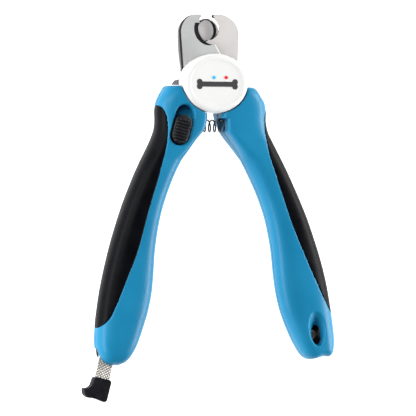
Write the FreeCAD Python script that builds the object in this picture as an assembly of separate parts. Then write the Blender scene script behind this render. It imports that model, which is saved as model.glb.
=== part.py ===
import FreeCAD, Part
import math
import os

V = FreeCAD.Vector
os.makedirs("parts", exist_ok=True)

# ---------------------------------------------------------------- dimensions
# Plier-type nail trimmer lying on its back, handles open.
# Origin: pivot axis where it meets the rest plane. +Z towards the cap side,
# +Y towards the blades, +X towards the right handle. Millimetres.
THICK = 16.5            # handle thickness
MID = THICK / 2.0       # casing parting plane
EDGE_R = 6.0            # rounding of the handle section

GUARD_Z0, GUARD_T = 3.0, 1.1
REAR_Z0, BLADE_T = 4.3, 2.6
FRONT_Z0 = 7.0
REAR_Z1 = REAR_Z0 + BLADE_T
FRONT_Z1 = FRONT_Z0 + BLADE_T
HUB_R = 11.0            # blade hubs

CAP_A, CAP_B = 15.4, 13.25      # half axes of the oval cap
CAP_Z0, CAP_Z1 = 9.8, 17.3
CAP_GAP = 0.35          # gap from the cap to the handles' hollows

AXLE_R = 4.0            # shouldered sleeve
FIT = 0.05              # radial running clearance on the sleeve
FLANGE_R = 6.5
CLOSE_DEG = 24.5        # closing stroke of the handles

SLOT_TOP = V(-14.5, -13.9, 0)
SLOT_BOT = V(-17.1, -23.3, 0)
SLOT_HALF = 4.35        # half width of the thumb slot
SLIDER_HALF = 3.75
SLIDER_LEN = 13.2
LOCK_TRAVEL = 4.0
SLOT_FLOOR = 11.2
PLATE_Z0, PLATE_Z1 = 8.37, 9.52

SPRING_Y = -18.85
SPRING_R, WIRE_R = 2.65, 0.36
SPRING_X0, SPRING_X1 = -7.9, 6.5

FILE_P = V(-49.6, -124.4, 0)    # file axis where it leaves the foot
FILE_DIR = V(-0.2300, -0.9732, 0)
FILE_W, FILE_T, FILE_LEN = 6.9, 1.6, 77.0
FILE_OUT = 6.6          # bare file showing below the foot
CHAN_W, CHAN_T = 7.3, 1.9

HANG_R = 2.1            # through hole in the right handle

# ------------------------------------------------------------------- helpers


def prism(face, z0, z1):
    f = face.copy()
    f.translate(V(0, 0, z0))
    return f.extrude(V(0, 0, z1 - z0))


def poly_face(pts):
    vs = [V(p[0], p[1], 0) for p in pts]
    vs.append(vs[0])
    return Part.Face(Part.makePolygon(vs))


def spline(pts):
    c = Part.BSplineCurve()
    c.interpolate([V(p[0], p[1], 0) for p in pts])
    return c.toShape()


def path_face(items):
    """items: lists of points; two points make a line, more make a spline."""
    edges = []
    for it in items:
        if len(it) == 2:
            edges.append(Part.makeLine(V(*it[0], 0), V(*it[1], 0)))
        else:
            edges.append(spline(it))
    return Part.Face(Part.Wire(edges))


def cyl(x, y, r, z0, z1):
    return Part.makeCylinder(r, z1 - z0, V(x, y, z0))


def ellipse_prism(a, b, z0, z1):
    e = Part.Ellipse(V(0, 0, z0), a, b).toShape()
    return Part.Face(Part.Wire([e])).extrude(V(0, 0, z1 - z0))


def stadium(p, q, r, z0, z1):
    """Slot shape between two centres, in plan."""
    d = q.sub(p)
    length = d.Length
    box = Part.makeBox(length, 2 * r, z1 - z0, V(0, -r, z0))
    s = box.fuse([cyl(0, 0, r, z0, z1), cyl(length, 0, r, z0, z1)]).removeSplitter()
    s.rotate(V(0, 0, 0), V(0, 0, 1), math.degrees(math.atan2(d.y, d.x)))
    s.translate(V(p.x, p.y, 0))
    return s


def rounded_section(y, xl, xr, z0, z1, r):
    """Rounded rectangle in the plane Y = y."""
    r = min(r, (z1 - z0) / 2.0 - 0.05, (xr - xl) / 2.0 - 0.05)
    k = r * (1 - math.sqrt(0.5))
    P = lambda x, z: V(x, y, z)
    e = [
        Part.makeLine(P(xl + r, z0), P(xr - r, z0)),
        Part.Arc(P(xr - r, z0), P(xr - k, z0 + k), P(xr, z0 + r)).toShape(),
        Part.makeLine(P(xr, z0 + r), P(xr, z1 - r)),
        Part.Arc(P(xr, z1 - r), P(xr - k, z1 - k), P(xr - r, z1)).toShape(),
        Part.makeLine(P(xr - r, z1), P(xl + r, z1)),
        Part.Arc(P(xl + r, z1), P(xl + k, z1 - k), P(xl, z1 - r)).toShape(),
        Part.makeLine(P(xl, z1 - r), P(xl, z0 + r)),
        Part.Arc(P(xl, z0 + r), P(xl + k, z0 + k), P(xl + r, z0)).toShape(),
    ]
    return Part.Wire(e)


def lerp(tab, y):
    """tab: rows (y, v...) in falling y."""
    if y >= tab[0][0]:
        return tab[0][1:]
    for a, b in zip(tab, tab[1:]):
        if y >= b[0]:
            t = (a[0] - y) / (a[0] - b[0])
            return tuple(u + (w - u) * t for u, w in zip(a[1:], b[1:]))
    return tab[-1][1:]


def handle_solid(tab, inset_l=0.0, inset_r=0.0, inset_z=0.0, skip_ends=0):
    rows = tab[skip_ends:len(tab) - skip_ends] if skip_ends else tab
    wires = []
    for y, xl, xr, dz in rows:
        wires.append(rounded_section(y, xl + inset_l, xr - inset_r, dz + inset_z,
                                     THICK - dz - inset_z, EDGE_R - inset_z * 0.6))
    return Part.makeLoft(wires, True, False)


def write(name, shape, solids=1):
    s = shape
    if s.ShapeType == "Compound" and len(s.Solids) == 1:
        s = s.Solids[0]
    ok = s.isValid() and len(s.Solids) == solids
    b = s.BoundBox
    print("%-20s solids %d valid %s vol %.1f box %.1f..%.1f %.1f..%.1f %.1f..%.1f" % (
        name, len(s.Solids), s.isValid(), s.Volume,
        b.XMin, b.XMax, b.YMin, b.YMax, b.ZMin, b.ZMax))
    if not ok:
        print("  CHECK", name)
    s.exportStep("parts/%s.step" % name)
    return s


# -------------------------------------------------------------- handle bodies
# (y, left side, right side, how far the section is pulled in at front and back)
LEFT = [
    (-1.0, -20.2, -2.0, 2.2), (-1.7, -21.2, -2.0, 1.0), (-3.2, -22.1, -2.0, 0.3),
    (-5.5, -23.5, -2.2, 0.0), (-9.0, -24.9, -2.6, 0.0), (-13.0, -25.3, -3.1, 0.0),
    (-16.0, -25.2, -3.3, 0.0), (-18.5, -25.3, -3.8, 0.0), (-20.5, -25.6, -4.6, 0.0),
    (-22.5, -26.2, -6.2, 0.0), (-25.0, -27.2, -8.4, 0.0), (-30.0, -29.6, -12.0, 0.0),
    (-35.0, -32.2, -15.2, 0.0), (-40.0, -34.6, -17.8, 0.0), (-46.0, -37.2, -20.4, 0.0),
    (-52.0, -39.7, -22.6, 0.0), (-60.0, -42.6, -24.9, 0.0), (-68.0, -45.2, -26.4, 0.0),
    (-76.0, -47.5, -27.4, 0.0), (-84.0, -49.5, -27.9, 0.0), (-92.0, -51.2, -28.6, 0.0),
    (-100.0, -52.5, -30.15, 0.0), (-108.0, -53.4, -32.6, 0.0), (-114.0, -53.7, -34.8, 0.0),
    (-118.0, -53.4, -36.5, 0.3), (-120.5, -52.8, -37.8, 0.8), (-122.5, -51.7, -39.2, 1.7),
    (-124.0, -50.0, -41.0, 3.0), (-125.0, -47.8, -43.4, 4.9),
]
RIGHT = [
    (-1.4, 2.0, 19.8, 2.2), (-2.1, 2.0, 20.9, 1.0), (-3.6, 2.1, 22.1, 0.3),
    (-5.8, 2.3, 23.5, 0.0), (-9.0, 2.8, 25.3, 0.0), (-13.0, 3.5, 25.8, 0.0),
    (-16.0, 4.2, 25.7, 0.0), (-18.5, 5.2, 26.0, 0.0), (-20.5, 6.1, 26.4, 0.0),
    (-22.5, 7.3, 27.1, 0.0), (-25.0, 9.2, 28.4, 0.0), (-30.0, 13.2, 31.1, 0.0),
    (-35.0, 16.4, 33.8, 0.0), (-40.0, 19.1, 36.4, 0.0), (-46.0, 22.1, 39.3, 0.0),
    (-52.0, 24.7, 42.1, 0.0), (-60.0, 27.5, 45.6, 0.0), (-68.0, 29.4, 48.6, 0.0),
    (-76.0, 30.7, 51.4, 0.0), (-84.0, 31.5, 53.8, 0.0), (-92.0, 32.6, 55.7, 0.0),
    (-100.0, 34.4, 57.4, 0.0), (-108.0, 37.3, 58.8, 0.0), (-114.0, 40.1, 59.5, 0.0),
    (-118.0, 42.2, 59.6, 0.3), (-120.3, 43.4, 59.2, 0.8), (-122.0, 44.6, 58.2, 1.6),
    (-123.1, 45.8, 56.8, 2.8), (-123.8, 47.0, 54.4, 4.6),
]
left_raw = handle_solid(LEFT)
right_raw = handle_solid(RIGHT)
print("raw handles", left_raw.isValid(), left_raw.Volume, right_raw.isValid(), right_raw.Volume)
hollow = ellipse_prism(CAP_A + CAP_GAP, CAP_B + CAP_GAP, -1, THICK + 2)
left_h = left_raw.cut(hollow)
right_h = right_raw.cut(hollow)
left_h = max(left_h.Solids, key=lambda s: s.Volume)
right_h = max(right_h.Solids, key=lambda s: s.Volume)

# grip outlines in plan, on the inner side of each grip
LGRIP = [(-27.5, -8.9), (-25.6, -9.7), (-24.1, -11.2), (-22.8, -14.4), (-22.3, -18.4), (-22.4, -21.5),
         (-22.8, -25.1), (-23.4, -28.0), (-24.3, -31.8), (-25.5, -35.8), (-27.4, -42.5),
         (-30.4, -51.9), (-32.8, -60.0), (-35.6, -70.0), (-37.4, -75.6), (-39.3, -80.5),
         (-42.1, -87.0), (-44.9, -94.0), (-47.5, -100.2), (-50.4, -105.4), (-55.5, -110.0)]
RGRIP = [(28.5, -9.4), (26.3, -10.2), (24.9, -12.2), (24.1, -15.2), (23.9, -18.4), (24.0, -21.8),
         (24.4, -25.1), (25.3, -30.0), (26.7, -35.0), (28.5, -40.0), (30.6, -46.0),
         (32.8, -52.0), (35.6, -60.0), (38.9, -68.0), (42.4, -76.0), (46.1, -84.0),
         (49.9, -91.5), (53.0, -97.2), (56.2, -102.0), (61.5, -105.8)]


def grip_prism(pts, xo):
    e = [spline(pts),
         Part.makeLine(V(pts[-1][0], pts[-1][1], 0), V(xo, pts[-1][1], 0)),
         Part.makeLine(V(xo, pts[-1][1], 0), V(xo, pts[0][1], 0)),
         Part.makeLine(V(xo, pts[0][1], 0), V(pts[0][0], pts[0][1], 0))]
    return prism(Part.Face(Part.Wire(e)), -1, THICK + 1)


GRIP_T = 2.0
left_core = handle_solid(LEFT, inset_l=GRIP_T, inset_r=-3.0, inset_z=GRIP_T)
right_core = handle_solid(RIGHT, inset_l=-3.0, inset_r=GRIP_T, inset_z=GRIP_T)
left_grip = left_h.common(grip_prism(LGRIP, -70)).cut(left_core)
right_grip = right_h.common(grip_prism(RGRIP, 75)).cut(right_core)
left_blue = left_h.cut(left_grip)
right_blue = right_h.cut(right_grip)

# --------------------------------------------------------------------- blades
# tangs in plan
LT = [(-6.0, -12.2), (-10.5, -16.5), (-13.2, -24.0), (-18.2, -33.0), (-23.8, -43.5)]
LT2 = [(-30.2, -41.0), (-25.6, -31.0), (-20.2, -20.5), (-16.6, -11.0), (-13.5, -4.6), (-9.6, 5.2)]
RT = [(6.4, -12.0), (11.2, -16.5), (14.6, -24.0), (19.6, -33.0), (25.2, -43.5)]
RT2 = [(31.4, -41.0), (26.8, -31.0), (21.6, -20.5), (17.6, -11.0), (14.2, -4.6), (10.0, 4.8)]

rear_plan = path_face([
    [(2.3, 30.3), (2.7, 31.0), (3.7, 31.25)],
    [(3.7, 31.25), (5.9, 31.2)],
    [(5.9, 31.2), (8.6, 30.5), (10.9, 29.2), (12.9, 27.2), (14.1, 25.0), (14.45, 22.8)],
    [(14.45, 22.8), (14.05, 9.0)],
    [(14.05, 9.0), (13.3, 4.5), (11.6, 0.0), (9.6, -5.4), (6.2, -9.1), (1.8, -10.85), (-2.4, -10.8), (-6.0, -12.2)],
    LT,
    [LT[-1], (-27.4, -45.4), LT2[0]],
    LT2,
    [(-9.6, 5.2), (-7.6, 11.5), (-4.2, 16.2), (-0.1, 19.7)],
    [(-0.1, 19.7), (2.0, 20.05), (3.75, 21.45), (4.85, 23.3), (5.1, 25.3), (4.6, 27.2), (3.4, 28.9), (2.3, 30.3)],
])
rear_blade = prism(rear_plan, REAR_Z0, REAR_Z1)
# ground bevel behind the cutting edge of the rear blade
c0 = Part.Wire([Part.Circle(V(0.15, 24.85, REAR_Z1 - 0.35), V(0, 0, 1), 4.95).toShape()])
c1 = Part.Wire([Part.Circle(V(0.9, 24.85, REAR_Z0 - 0.01), V(0, 0, 1), 6.3).toShape()])
rear_bevel = Part.makeLoft([c0, c1], True, True).common(
    Part.makeBox(12, 9.4, 8, V(-0.4, 20.2, REAR_Z0 - 1)))
rear_blade = rear_blade.cut(rear_bevel)

front_plan = path_face([
    [(-4.45, 29.9), (-4.5, 30.6), (-5.2, 30.9), (-6.6, 31.0), (-9.3, 30.45), (-11.95, 28.65), (-13.65, 25.8), (-14.2, 23.25)],
    [(-14.2, 23.25), (-12.95, 7.0)],
    [(-12.95, 7.0), (-12.2, 3.5), (-11.1, 0.0), (-10.2, -4.1), (-8.1, -7.44), (-4.8, -9.9), (-1.0, -11.0), (2.6, -10.8), (6.4, -12.0)],
    RT,
    [RT[-1], (28.8, -45.4), RT2[0]],
    RT2,
    [(10.0, 4.8), (8.2, 8.6), (5.6, 12.3), (2.2, 17.4)],
    [(2.2, 17.4), (0.3, 17.87), (-1.45, 18.71), (-3.0, 20.08), (-4.25, 21.84), (-4.95, 23.8), (-5.1, 25.5), (-4.95, 27.0)],
    [(-4.95, 27.0), (-5.35, 28.3), (-4.45, 29.9)],
])
front_blade = prism(front_plan, FRONT_Z0, FRONT_Z1)
b0 = Part.Wire([Part.Circle(V(3.0, 25.5, FRONT_Z0 + 0.3), V(0, 0, 1), 8.1).toShape()])
b1 = Part.Wire([Part.Circle(V(-0.5, 24.6, FRONT_Z1 + 0.01), V(0, 0, 1), 7.45).toShape()])
front_bevel = Part.makeLoft([b0, b1], True, True).common(
    Part.makeBox(40, 14.6, 8, V(-20, 12.6, FRONT_Z0 - 1)))
front_blade = front_blade.cut(front_bevel)
# sleeve holes
front_blade = front_blade.cut(cyl(0, 0, AXLE_R + FIT, FRONT_Z0 - 1, FRONT_Z1 + 1))
rear_blade = rear_blade.cut(cyl(0, 0, AXLE_R + 0.02, REAR_Z0 - 1, REAR_Z1 + 1))

# ------------------------------------------------------------------ lock parts
u = SLOT_TOP.sub(SLOT_BOT)
u.normalize()
TONGUE = [(-7.7, -11.5), (-5.4, -11.7), (-6.6, -14.1), (-10.4, -16.2), (-12.9, -22.6),
          (-17.4, -21.4), (-16.4, -17.0), (-12.4, -15.0), (-8.4, -13.2)]
plate = prism(poly_face(TONGUE), PLATE_Z0, PLATE_Z1)
# post that joins the plate and the thumb piece
POST = SLOT_TOP.sub(SLOT_BOT).multiply(0.30).add(SLOT_BOT)
post_r = 1.5
plate = plate.fuse(cyl(POST.x, POST.y, post_r, PLATE_Z0, 13.4)).removeSplitter()
# notches in the front blade's hub: one for handles closed, one for open
finger = poly_face([(-8.2, -13.5), (-8.2, -11.3), (-7.1, -6.6), (-3.9, -6.9), (-4.2, -11.0), (-4.6, -13.5)])
notch_open = prism(finger, FRONT_Z0 - 0.5, FRONT_Z1 + 0.5)
notch_closed = notch_open.copy()
notch_closed.rotate(V(0, 0, 0), V(0, 0, 1), CLOSE_DEG)
front_blade = front_blade.cut(notch_open.fuse(notch_closed))

# slot, slit and pocket in the left casing
slot = stadium(SLOT_BOT, SLOT_TOP, SLOT_HALF, SLOT_FLOOR, THICK + 2)
rest_low = SLOT_BOT
slit = stadium(POST.sub(V(u).multiply(0.3)), POST.add(V(u).multiply(LOCK_TRAVEL + 0.3)), post_r + 0.25, PLATE_Z0 - 0.12, SLOT_FLOOR + 0.1)
pocket_pts = [Part.Vertex(V(p[0], p[1], 0)) for p in TONGUE]
base = prism(poly_face(TONGUE), MID, PLATE_Z1 + 0.12)
pocket = base
for k in range(1, 5):
    c = base.copy()
    d = V(u).multiply(LOCK_TRAVEL * k / 4.0)
    c.translate(d)
    pocket = pocket.fuse(c)
grown = []
for dx, dy in ((0.25, 0), (-0.25, 0), (0, 0.3), (0, -0.25)):
    c = pocket.copy()
    c.translate(V(dx, dy, 0))
    grown.append(c)
pocket = pocket.fuse(grown)

slider_top = SLOT_BOT.add(V(u).multiply(SLIDER_LEN - 2 * SLIDER_HALF))
slider_body = stadium(SLOT_BOT.add(V(u).multiply(0.15)), slider_top, SLIDER_HALF, SLOT_FLOOR + 0.15, 17.1)
# dished, ribbed thumb face
ribs = []
for k in range(8):
    c = SLOT_BOT.add(V(u).multiply(-2.6 + 1.36 * k))
    w = math.sqrt(max(0.5, 1 - ((-2.6 + 1.36 * k) / 3.7) ** 2 if k < 2 else 1.0)) * 2.9
    bx = Part.makeBox(0.62, 2 * w if k < 7 else 4.2, 1.3, V(-0.31, -(w if k < 7 else 2.1), 16.7))
    bx.rotate(V(0, 0, 0), V(0, 0, 1), math.degrees(math.atan2(u.y, u.x)))
    bx.translate(V(c.x, c.y, 0))
    ribs.append(bx)
slider = slider_body.fuse(ribs).removeSplitter()
slider = slider.cut(cyl(POST.x, POST.y, post_r + 0.0, SLOT_FLOOR - 1, 13.4))

# lock detent leaf, in a pocket beside the plate
leaf_l = Part.makeBox(0.35, 8.0, 1.1, V(0, 0, 8.4))
leaf_l.rotate(V(0, 0, 0), V(0, 0, 1), -15.5)
leaf_l.translate(V(-20.1, -22.4, 0))
leaf_pocket = Part.makeBox(1.0, 8.4, 1.4, V(-0.3, -0.2, MID))
leaf_pocket.rotate(V(0, 0, 0), V(0, 0, 1), -15.5)
leaf_pocket.translate(V(-20.1, -22.4, 0))

# ------------------------------------------------------------------ spring
ang = 0.0
left_bore = Part.makeCylinder(SPRING_R + WIRE_R + 0.45, 12.0, V(SPRING_X0 - 0.15, SPRING_Y, MID), V(1, 0, 0))
notch_r = Part.makeCylinder(SPRING_R + WIRE_R + 0.45, 10.0, V(SPRING_X1 + 0.15 - 10.0, SPRING_Y, MID), V(1, 0, 0))
open_r = Part.makeBox(8.0, 2 * (SPRING_R + WIRE_R + 0.45), THICK, V(SPRING_X1 + 0.15 - 8.0, SPRING_Y - (SPRING_R + WIRE_R + 0.45), MID))
notch_r = notch_r.fuse(open_r)

turns = 6.5
length = SPRING_X1 - SPRING_X0 - 2 * WIRE_R
hx = Part.makeHelix(length / turns, length, SPRING_R)
hw = Part.Wire(hx.Edges)
p0 = hw.Edges[0].valueAt(hw.Edges[0].FirstParameter)
t0 = hw.Edges[0].tangentAt(hw.Edges[0].FirstParameter)
prof = Part.Wire([Part.Circle(p0, t0, WIRE_R).toShape()])
spring = hw.makePipeShell([prof], True, True)
if not isinstance(spring, Part.Solid):
    spring = Part.Solid(spring) if spring.ShapeType == "Shell" else spring
spring.rotate(V(0, 0, 0), V(0, 1, 0), 90)
spring.translate(V(SPRING_X0 + WIRE_R, SPRING_Y, MID))

# ---------------------------------------------------------------------- file
FA = math.degrees(math.atan2(FILE_DIR.y, FILE_DIR.x))


def along_file(s0, s1, w, z0, z1, off=0.0):
    """Bar on the file axis from s0 to s1 (s runs out of the foot)."""
    b = Part.makeBox(s1 - s0, w, z1 - z0, V(s0, off - w / 2.0, z0))
    b.rotate(V(0, 0, 0), V(0, 0, 1), FA)
    b.translate(FILE_P)
    return b


file_s1 = FILE_OUT + 3.0
nail_file = along_file(file_s1 - FILE_LEN, file_s1, FILE_W, MID - FILE_T / 2, MID + FILE_T / 2)
channel = along_file(file_s1 - FILE_LEN - 8.2, 12.0, CHAN_W, MID - CHAN_T / 2, MID + CHAN_T / 2)
# pull cap with a finger hook
cap_plan = path_face([
    [(6.60, -3.1), (6.60, 3.1)],
    [(6.60, 3.1), (7.13, 4.0), (8.47, 4.25)],
    [(8.47, 4.25), (15.46, 4.1)],
    [(15.46, 4.1), (16.41, 3.6), (16.70, 2.4)],
    [(16.70, 2.4), (16.13, -1.6), (16.41, -4.6)],
    [(16.41, -4.6), (15.46, -6.5), (12.58, -7.6)],
    [(12.58, -7.6), (11.91, -5.6), (10.48, -4.4)],
    [(10.48, -4.4), (7.99, -4.1)],
    [(7.99, -4.1), (6.94, -3.8), (6.60, -3.1)],
])
file_cap = prism(cap_plan, MID - 2.5, MID + 2.5)
try:
    es = [e for e in file_cap.Edges if abs(e.BoundBox.ZMax - e.BoundBox.ZMin) < 1e-6]
    file_cap = file_cap.makeFillet(0.7, es)
except Exception as ex:
    print("cap fillet", ex)
file_cap.rotate(V(0, 0, 0), V(0, 0, 1), FA)
file_cap.translate(FILE_P)
file_cap = file_cap.cut(nail_file)

# leaf that drags on the file
fd = along_file(-40.0, -22.0, 3.6, 6.62, 6.97)
bump = along_file(-32.5, -29.5, 3.6, 6.62, 7.38)
file_detent = fd.fuse(bump).removeSplitter()
fd_pocket = along_file(-40.6, -21.4, 4.2, 6.5, MID)

# ------------------------------------------------------- casing halves, dowels
LPIN = [(-15.0, -19.2), (-24.6, -36.6)]
LPIN = [(-18.9, -27.8), (-24.6, -37.4)]
RPIN = [(15.6, -20.5), (24.6, -36.4)]
tang_l = prism(rear_plan, REAR_Z0, REAR_Z1)
tang_r = prism(front_plan, FRONT_Z0, FRONT_Z1)
left_blue = left_blue.cut([tang_l, channel, fd_pocket, slot, slit, pocket, leaf_pocket, left_bore])
right_blue = right_blue.cut([tang_r, notch_r])
lp = [cyl(x, y, 1.5, 2.4, 7.9) for x, y in LPIN]
rp = [cyl(x, y, 1.5, 3.6, 13.0) for x, y in RPIN]
left_blue = left_blue.cut(lp)
right_blue = right_blue.cut(rp)
rear_blade = rear_blade.cut([cyl(x, y, 1.5, 2.4, 7.9) for x, y in LPIN])
front_blade = front_blade.cut([cyl(x, y, 1.5, 3.6, 13.0) for x, y in RPIN])

# hanging hole: round through the rear casing, long well and oval mouth in front
HX, HY = 49.6, -112.6
HANG_ROT = 97.0
HD = V(math.cos(math.radians(HANG_ROT)), math.sin(math.radians(HANG_ROT)), 0)
hang = cyl(HX, HY, HANG_R, -1, MID + 1)
well = stadium(V(HX, HY, 0).sub(V(HD).multiply(2.1)), V(HX, HY, 0).add(V(HD).multiply(2.1)), HANG_R + 0.25, MID - 0.5, THICK + 1)
w = []
for z, a, b, cx, cy in ((THICK + 0.2, 4.3, 8.3, -0.6, 2.7), (THICK - 1.2, 3.5, 6.9, -0.4, 1.9),
                        (THICK - 3.4, 2.4, 4.75, 0.0, 0.25), (THICK - 4.6, 1.9, 4.0, 0.0, 0.0)):
    e = Part.Ellipse(V(0, 0, z), b, a).toShape()
    wi = Part.Wire([e])
    wi.rotate(V(0, 0, 0), V(0, 0, 1), HANG_ROT)
    wi.translate(V(HX + cx, HY + cy, 0))
    w.append(wi)
dish = Part.makeLoft(w, True, False)
mouth = Part.makeCone(HANG_R + 1.2, HANG_R, 1.2, V(HX, HY, -0.2))
# the rear casing stops short beside the file at the foot
left_blue = left_blue.cut(along_file(-5.7, 14.0, 6.0, -1.0, MID + CHAN_T / 2, off=-(CHAN_W / 2 + 3.0)))


low = Part.makeBox(200, 200, MID + 5, V(-100, -150, -5))
high = Part.makeBox(200, 200, 30, V(-100, -150, MID))
high_near = Part.makeBox(200, 200, 30, V(-100, -150, MID + 0.002))


def biggest(s):
    return max(s.Solids, key=lambda q: q.Volume)


def half(s, keep, other, near=None):
    """One side of a casing. The ways of cutting it give the same solid to 0.002 mm."""
    ways = [lambda: s.common(keep), lambda: s.cut(other)] + ([lambda: s.common(near)] if near else [])
    for way in ways:
        q = way()
        print("half", [round(x.Volume, 1) for x in q.Solids])
        if q.Solids and 0.3 * s.Volume < biggest(q).Volume < 0.7 * s.Volume and biggest(q).isValid():
            return biggest(q)
    raise RuntimeError("casing not split")


lr = half(left_blue, low, high)
lf = half(left_blue, high, low, high_near)
rr = half(right_blue, low, high).cut(hang).cut(mouth)
rf = half(right_blue, high, low, high_near).cut(well).cut(dish)
rr, rf = biggest(rr), biggest(rf)
for nm, s in (("left_blue", left_blue), ("right_blue", right_blue)):
    print(nm, [round(q.Volume, 1) for q in s.Solids])

# ---------------------------------------------------------------- safety guard
guard_plan = path_face([
    [(-13.6, 23.0), (-12.85, 10.5), (-11.9, 5.0)],
    [(-11.9, 5.0), (-11.8, 2.9), (-13.2, 2.0), (-15.0, 1.6)],
    [(-15.0, 1.6), (-16.4, -0.5)],
    [(-16.4, -0.5), (-13.0, -0.5)],
    [(-13.0, -0.5), (-11.4, -1.1), (-10.3, -2.7), (-8.2, -5.8), (-4.4, -8.6), (0.0, -9.7), (4.6, -8.5), (8.3, -5.0), (9.7, 0.0), (8.6, 4.4), (6.4, 9.0), (5.6, 14.0), (5.9, 19.0)],
    [(5.9, 19.0), (6.15, 23.4), (5.0, 26.6), (2.8, 28.7), (0.1, 29.4), (-2.6, 28.8), (-4.6, 27.4)],
    [(-4.6, 27.4), (-5.8, 28.7), (-7.4, 29.8)],
    [(-7.4, 29.8), (-10.0, 29.2), (-12.2, 27.2), (-13.3, 25.0), (-13.6, 23.0)],
])
guard = prism(guard_plan, GUARD_Z0, GUARD_Z0 + GUARD_T)
guard = guard.cut(cyl(0, 0, AXLE_R + FIT, 0, 10))
# pressed ring round the raised pad of the guard's end
ring_o = Part.Face(Part.Wire([Part.Ellipse(V(-0.35, 24.0, 0), 5.3, 5.0).toShape()]))
ring_i = Part.Face(Part.Wire([Part.Ellipse(V(-0.35, 24.0, 0), 4.7, 3.8).toShape()]))
ri = prism(ring_i, GUARD_Z0 + 0.75, GUARD_Z0 + 2)
ri.rotate(V(-0.35, 24.0, 0), V(0, 0, 1), 90)
groove = prism(ring_o, GUARD_Z0 + 0.75, GUARD_Z0 + 2).cut(ri)
guard = guard.cut(groove)

# ------------------------------------------------------------- pivot hardware
barrel = cyl(0, 0, FLANGE_R, 0, 1.8).fuse(cyl(0, 0, AXLE_R, 1.8, 10.0)).removeSplitter()
barrel = barrel.cut(cyl(0, 0, 1.6, 2.8, 11))
try:
    es = [e for e in barrel.Edges if abs(e.BoundBox.ZMin) < 1e-6 and abs(e.BoundBox.XMax - FLANGE_R) < 1e-3]
    barrel = barrel.makeChamfer(0.4, es)
except Exception as ex:
    print("barrel chamfer", ex)


def ring_profile(pts):
    f = Part.Face(Part.makePolygon([V(p[0], 0, p[1]) for p in pts + [pts[0]]]))
    return f.revolve(V(0, 0, 0), V(0, 0, 1), 360)


spring_washer = ring_profile([(4.15, 1.85), (6.4, 2.5), (6.4, 2.95), (4.15, 2.3)])
blade_washer = cyl(0, 0, 7.6, 9.65, 10.0).cut(cyl(0, 0, AXLE_R + FIT, 9, 11))
screw = cyl(0, 0, 5.5, 10.0, 12.3).fuse(cyl(0, 0, 1.55, 3.4, 10.0)).removeSplitter()
hexa = Part.Face(Part.makePolygon([V(2.3 * math.cos(math.radians(60 * k)), 2.3 * math.sin(math.radians(60 * k)), 0) for k in range(7)]))
screw = screw.cut(prism(hexa, 10.8, 13))

cap = ellipse_prism(CAP_A, CAP_B, CAP_Z0, CAP_Z1)
try:
    es = [e for e in cap.Edges if abs(e.BoundBox.ZMin - CAP_Z1) < 1e-6 and abs(e.BoundBox.ZMax - CAP_Z1) < 1e-6]
    cap = cap.makeFillet(1.9, es)
except Exception as ex:
    print("cap edge", ex)
cap = cap.cut(ellipse_prism(CAP_A - 1.6, CAP_B - 1.6, CAP_Z0 - 1, 15.2))
collar = cyl(0, 0, 7.4, 10.3, 15.6).cut(cyl(0, 0, 5.5, 10, 15.2))
cap = cap.fuse(collar).removeSplitter()
# shallow dish inside the rim
d0 = Part.Wire([Part.Ellipse(V(0, 0, CAP_Z1 - 0.45), 12.3, 10.5).toShape()])
d1 = Part.Wire([Part.Ellipse(V(0, 0, CAP_Z1 + 0.01), 12.9, 11.1).toShape()])
cap = cap.cut(Part.makeLoft([d0, d1], True, True))

# -------------------------------------------------------------------- write all
N = {}
N["front_blade"] = write("front_blade", front_blade)
N["rear_blade"] = write("rear_blade", rear_blade)
N["safety_guard"] = write("safety_guard", guard)
N["pivot_cap"] = write("pivot_cap", cap)
N["pivot_barrel"] = write("pivot_barrel", barrel)
N["pivot_screw"] = write("pivot_screw", screw)
N["blade_washer"] = write("blade_washer", blade_washer)
N["spring_washer"] = write("spring_washer", spring_washer)
N["left_front_shell"] = write("left_front_shell", lf)
N["left_rear_shell"] = write("left_rear_shell", lr)
N["left_grip"] = write("left_grip", left_grip)
N["right_front_shell"] = write("right_front_shell", rf)
N["right_rear_shell"] = write("right_rear_shell", rr)
N["right_grip"] = write("right_grip", right_grip)
N["left_tang_pins"] = write("left_tang_pins", Part.makeCompound(lp), 2)
N["right_tang_pins"] = write("right_tang_pins", Part.makeCompound(rp), 2)
N["lock_slider"] = write("lock_slider", slider)
N["lock_plate"] = write("lock_plate", plate)
N["lock_detent"] = write("lock_detent", leaf_l)
N["return_spring"] = write("return_spring", spring)
N["nail_file"] = write("nail_file", nail_file)
N["file_cap"] = write("file_cap", file_cap)
N["file_detent"] = write("file_detent", file_detent)
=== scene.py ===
import bpy, bmesh, math
import numpy as np
from mathutils import Vector, Matrix


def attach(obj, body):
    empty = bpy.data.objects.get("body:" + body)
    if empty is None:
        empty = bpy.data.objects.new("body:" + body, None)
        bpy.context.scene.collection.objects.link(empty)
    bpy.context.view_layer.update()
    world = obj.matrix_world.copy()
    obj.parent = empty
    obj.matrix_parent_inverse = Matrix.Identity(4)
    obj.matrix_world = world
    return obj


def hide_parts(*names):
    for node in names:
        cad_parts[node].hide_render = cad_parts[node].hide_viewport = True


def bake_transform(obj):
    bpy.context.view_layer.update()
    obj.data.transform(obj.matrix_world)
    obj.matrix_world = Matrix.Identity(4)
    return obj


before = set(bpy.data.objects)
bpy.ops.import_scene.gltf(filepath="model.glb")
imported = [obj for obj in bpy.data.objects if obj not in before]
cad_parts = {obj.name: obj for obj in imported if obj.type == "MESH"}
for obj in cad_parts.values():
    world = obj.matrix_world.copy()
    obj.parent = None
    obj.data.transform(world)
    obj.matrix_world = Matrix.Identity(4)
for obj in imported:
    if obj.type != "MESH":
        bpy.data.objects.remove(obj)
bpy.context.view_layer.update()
MM = 0.001

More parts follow.
